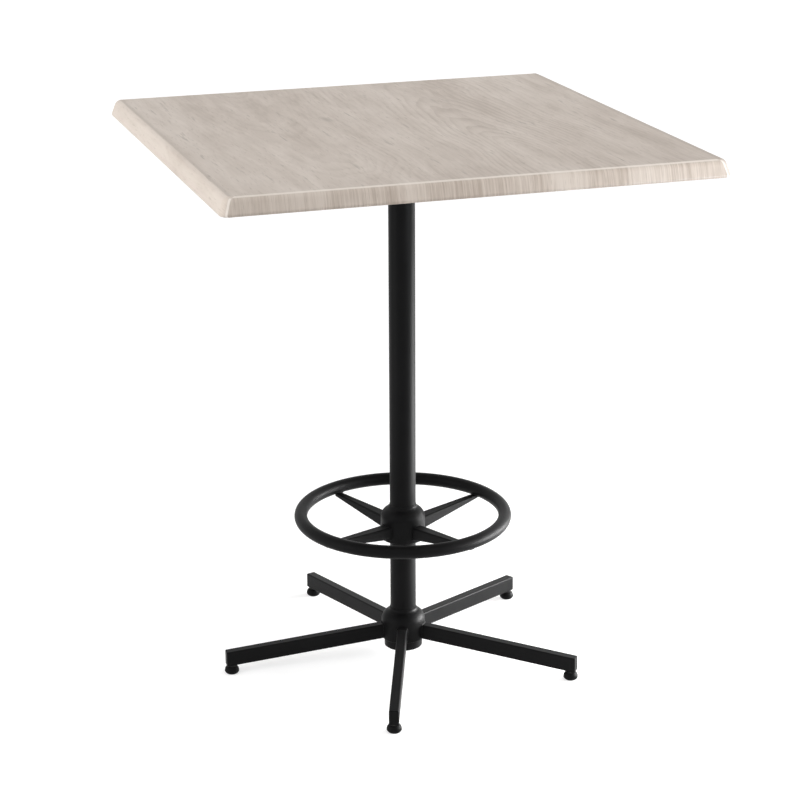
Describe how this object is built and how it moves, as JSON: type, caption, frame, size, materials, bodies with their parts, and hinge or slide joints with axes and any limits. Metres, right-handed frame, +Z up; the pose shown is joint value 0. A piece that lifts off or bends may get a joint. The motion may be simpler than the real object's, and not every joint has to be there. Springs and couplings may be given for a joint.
{
  "type": "pub table",
  "caption": "Bar-height square table with a round column, a ring footrest and a splayed base on levelling feet.",
  "frame": {"origin": "on the floor under the middle of the column", "axes": "+Z up, +X and +Y along the edges of the square top"},
  "size_m": [0.914, 0.914, 1.067],
  "materials": {
    "whitewashed_wood_top": "satin",
    "black_powder_coat": "satin",
    "zinc_plated_steel": "satin",
    "black_plastic_pad": "matte"
  },
  "bodies": {
    "table": {"table_top": "whitewashed_wood_top", "spider_socket": "black_powder_coat", "spider_arm_1": "black_powder_coat", "spider_arm_2": "black_powder_coat", "spider_arm_3": "black_powder_coat", "spider_arm_4": "black_powder_coat", "top_screws": "zinc_plated_steel", "column_tube": "black_powder_coat", "column_plug": "zinc_plated_steel", "foot_ring_tube": "black_powder_coat", "foot_ring_hub": "black_powder_coat", "foot_ring_spoke_1": "black_powder_coat", "foot_ring_spoke_2": "black_powder_coat", "foot_ring_spoke_3": "black_powder_coat", "foot_ring_spoke_4": "black_powder_coat", "base_hub": "black_powder_coat", "base_washer": "zinc_plated_steel", "base_bolt": "zinc_plated_steel", "leg_1": "black_powder_coat", "leg_2": "black_powder_coat", "leg_3": "black_powder_coat", "leg_4": "black_powder_coat", "leg_5": "black_powder_coat", "leg_cap_1": "black_powder_coat", "leg_cap_2": "black_powder_coat", "leg_cap_3": "black_powder_coat", "leg_cap_4": "black_powder_coat", "leg_cap_5": "black_powder_coat", "glide_insert_1": "zinc_plated_steel", "glide_insert_2": "zinc_plated_steel", "glide_insert_3": "zinc_plated_steel", "glide_insert_4": "zinc_plated_steel", "glide_insert_5": "zinc_plated_steel"},
    "foot_1": {"glide_pad_1": "black_plastic_pad"},
    "stem_1": {"glide_stem_1": "zinc_plated_steel"},
    "foot_2": {"glide_pad_2": "black_plastic_pad"},
    "stem_2": {"glide_stem_2": "zinc_plated_steel"},
    "foot_3": {"glide_pad_3": "black_plastic_pad"},
    "stem_3": {"glide_stem_3": "zinc_plated_steel"},
    "foot_4": {"glide_pad_4": "black_plastic_pad"},
    "stem_4": {"glide_stem_4": "zinc_plated_steel"},
    "foot_5": {"glide_pad_5": "black_plastic_pad"},
    "stem_5": {"glide_stem_5": "zinc_plated_steel"}
  },
  "joints": [
    {"name": "foot_1_height", "type": "slide", "parent": "table", "child": "foot_1", "axis": [0, 0, -1], "range_m": [0, 0.008]},
    {"name": "foot_1_screw", "type": "hinge", "parent": "foot_1", "child": "stem_1", "pos_m": [-0.34852, 0.01826, 0.02], "axis": [0, 0, -1], "range_deg": [0, 2304]},
    {"name": "foot_2_height", "type": "slide", "parent": "table", "child": "foot_2", "axis": [0, 0, -1], "range_m": [0, 0.008]},
    {"name": "foot_2_screw", "type": "hinge", "parent": "foot_2", "child": "stem_2", "pos_m": [-0.12507, -0.32582, 0.02], "axis": [0, 0, -1], "range_deg": [0, 2304]},
    {"name": "foot_3_height", "type": "slide", "parent": "table", "child": "foot_3", "axis": [0, 0, -1], "range_m": [0, 0.008]},
    {"name": "foot_3_screw", "type": "hinge", "parent": "foot_3", "child": "stem_3", "pos_m": [0.27122, -0.21963, 0.02], "axis": [0, 0, -1], "range_deg": [0, 2304]},
    {"name": "foot_4_height", "type": "slide", "parent": "table", "child": "foot_4", "axis": [0, 0, -1], "range_m": [0, 0.008]},
    {"name": "foot_4_screw", "type": "hinge", "parent": "foot_4", "child": "stem_4", "pos_m": [0.2927, 0.19008, 0.02], "axis": [0, 0, -1], "range_deg": [0, 2304]},
    {"name": "foot_5_height", "type": "slide", "parent": "table", "child": "foot_5", "axis": [0, 0, -1], "range_m": [0, 0.008]},
    {"name": "foot_5_screw", "type": "hinge", "parent": "foot_5", "child": "stem_5", "pos_m": [-0.09033, 0.33711, 0.02], "axis": [0, 0, -1], "range_deg": [0, 2304]}
  ],
  "couplings": [
    {"joint": "foot_1_screw", "follows": "foot_1_height", "rad_per_m": 5026.5},
    {"joint": "foot_2_screw", "follows": "foot_2_height", "rad_per_m": 5026.5},
    {"joint": "foot_3_screw", "follows": "foot_3_height", "rad_per_m": 5026.5},
    {"joint": "foot_4_screw", "follows": "foot_4_height", "rad_per_m": 5026.5},
    {"joint": "foot_5_screw", "follows": "foot_5_height", "rad_per_m": 5026.5}
  ]
}
